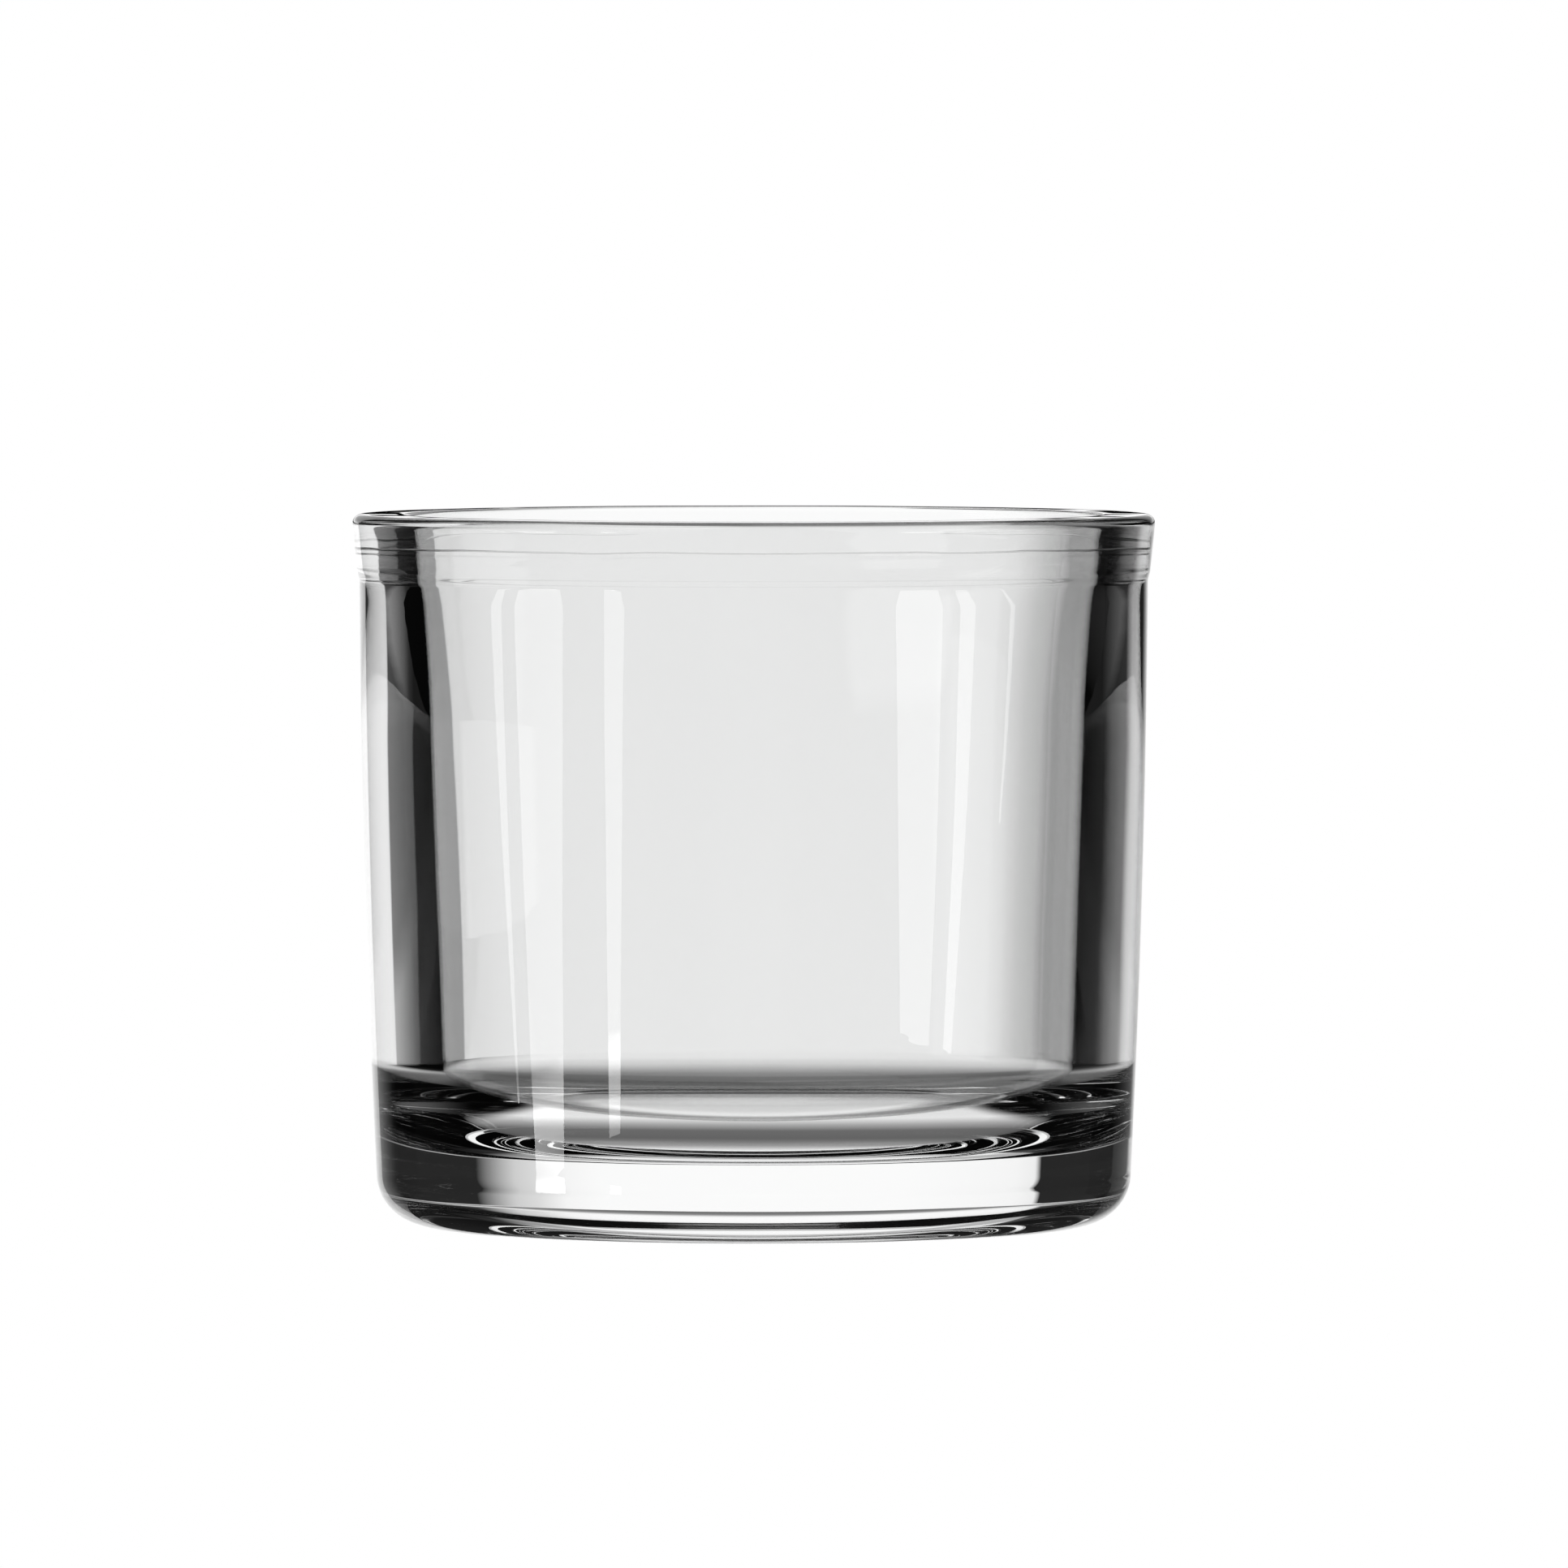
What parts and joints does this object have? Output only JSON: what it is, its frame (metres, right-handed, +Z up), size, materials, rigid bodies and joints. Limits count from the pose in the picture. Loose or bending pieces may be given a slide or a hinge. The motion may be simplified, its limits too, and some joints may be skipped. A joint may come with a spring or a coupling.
{
  "type": "glass cylinder vase",
  "caption": "Low, thick-walled cylinder vase of clear pressed glass, open at the top, with a heavy solid base and a flat lip with softly rounded edges.",
  "frame": {"origin": "centre of the ring that the vase stands on", "axes": "+Z up along the axis of revolution, towards the open mouth; +X and +Y are equivalent"},
  "size_m": [0.09, 0.09, 0.0796],
  "materials": {
    "clear_glass": "clear, fire-polished"
  },
  "bodies": {
    "root": {"glass_vase": "clear_glass"}
  },
  "joints": []
}
